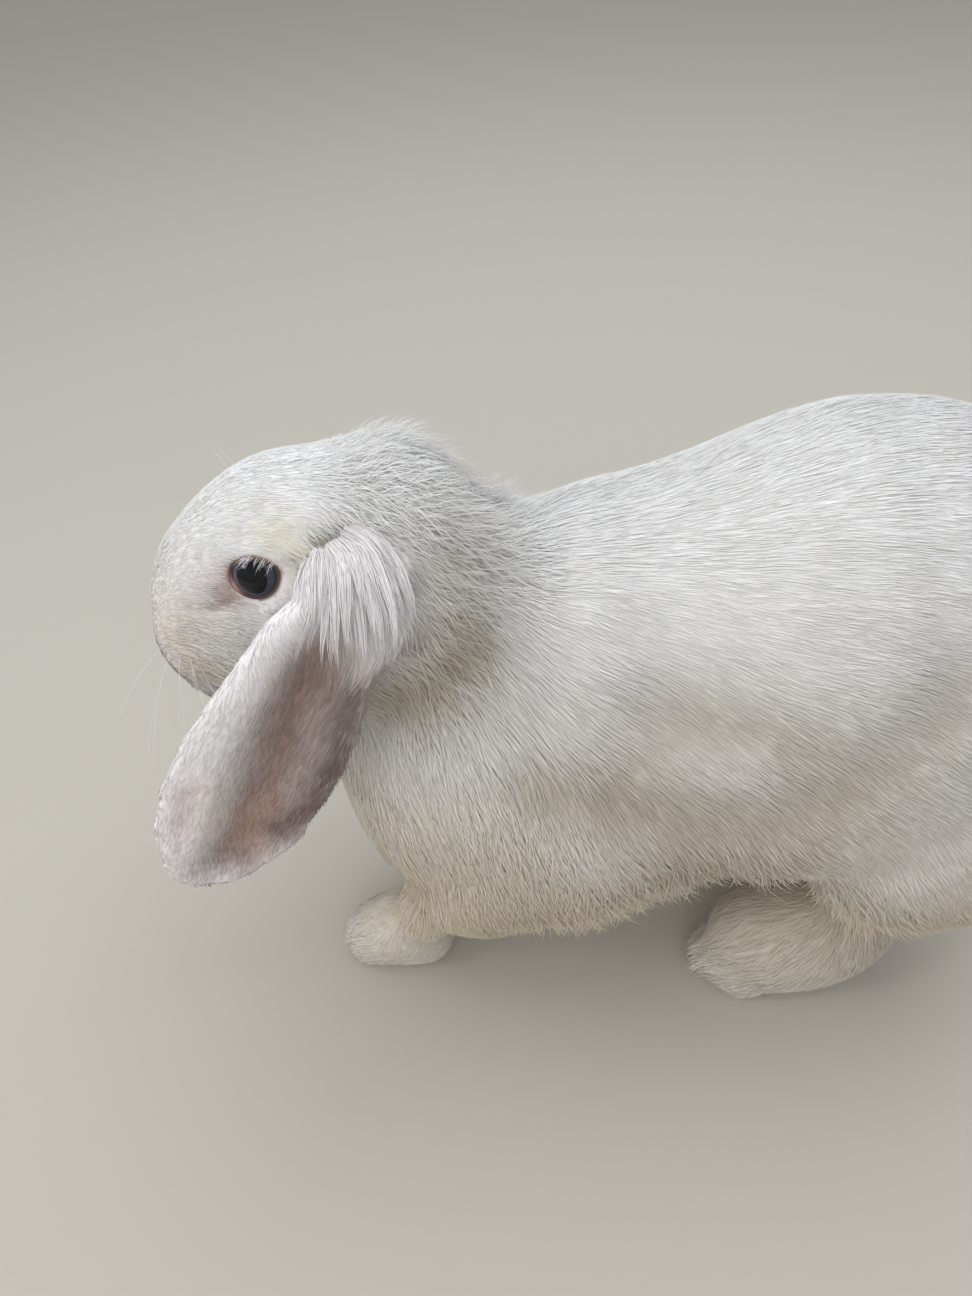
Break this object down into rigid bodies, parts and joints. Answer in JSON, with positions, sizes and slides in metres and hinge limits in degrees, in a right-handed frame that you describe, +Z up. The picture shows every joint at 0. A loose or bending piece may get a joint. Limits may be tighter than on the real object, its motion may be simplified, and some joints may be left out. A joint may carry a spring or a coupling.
{
  "type": "lop rabbit",
  "caption": "Small white lop-eared rabbit on all fours, head held forward and ears hanging, as a still life-size model.",
  "frame": {"origin": "on the floor, under the middle of the whole body", "axes": "the rabbit faces -Y, its left side is +X, +Z is up"},
  "size_m": [0.1538, 0.333, 0.2325],
  "materials": {
    "coat": "matte white fur",
    "ear_skin": "short white fur over pink skin",
    "eye": "wet gloss"
  },
  "bodies": {
    "root": {"head": "coat", "neck": "coat", "trunk": "coat", "tail": "coat", "left_ear": "ear_skin", "right_ear": "ear_skin", "left_eye": "eye", "right_eye": "eye", "left_foreleg": "coat", "right_foreleg": "coat", "left_forepaw": "coat", "right_forepaw": "coat", "left_haunch": "coat", "right_haunch": "coat", "left_hind_foot": "coat", "right_hind_foot": "coat"}
  },
  "joints": []
}
